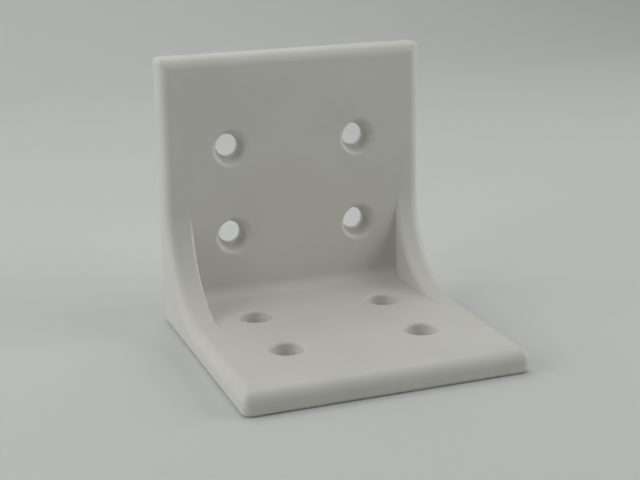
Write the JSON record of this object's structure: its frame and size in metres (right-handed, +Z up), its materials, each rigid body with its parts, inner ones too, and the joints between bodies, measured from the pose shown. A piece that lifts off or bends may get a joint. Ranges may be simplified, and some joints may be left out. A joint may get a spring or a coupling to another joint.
{
  "type": "l-bracket",
  "caption": "Plastic L-shaped corner bracket with curved side gussets, rounded inner edges and flared screw holes through both flanges.",
  "frame": {"origin": "middle of the underside of the base flange", "axes": "+X along the width, +Y from the free end of the base to the back face of the upright, +Z up"},
  "size_m": [0.061, 0.06, 0.06],
  "materials": {
    "plastic": "matt, off-white"
  },
  "bodies": {
    "root": {"bracket": "plastic"}
  },
  "joints": []
}
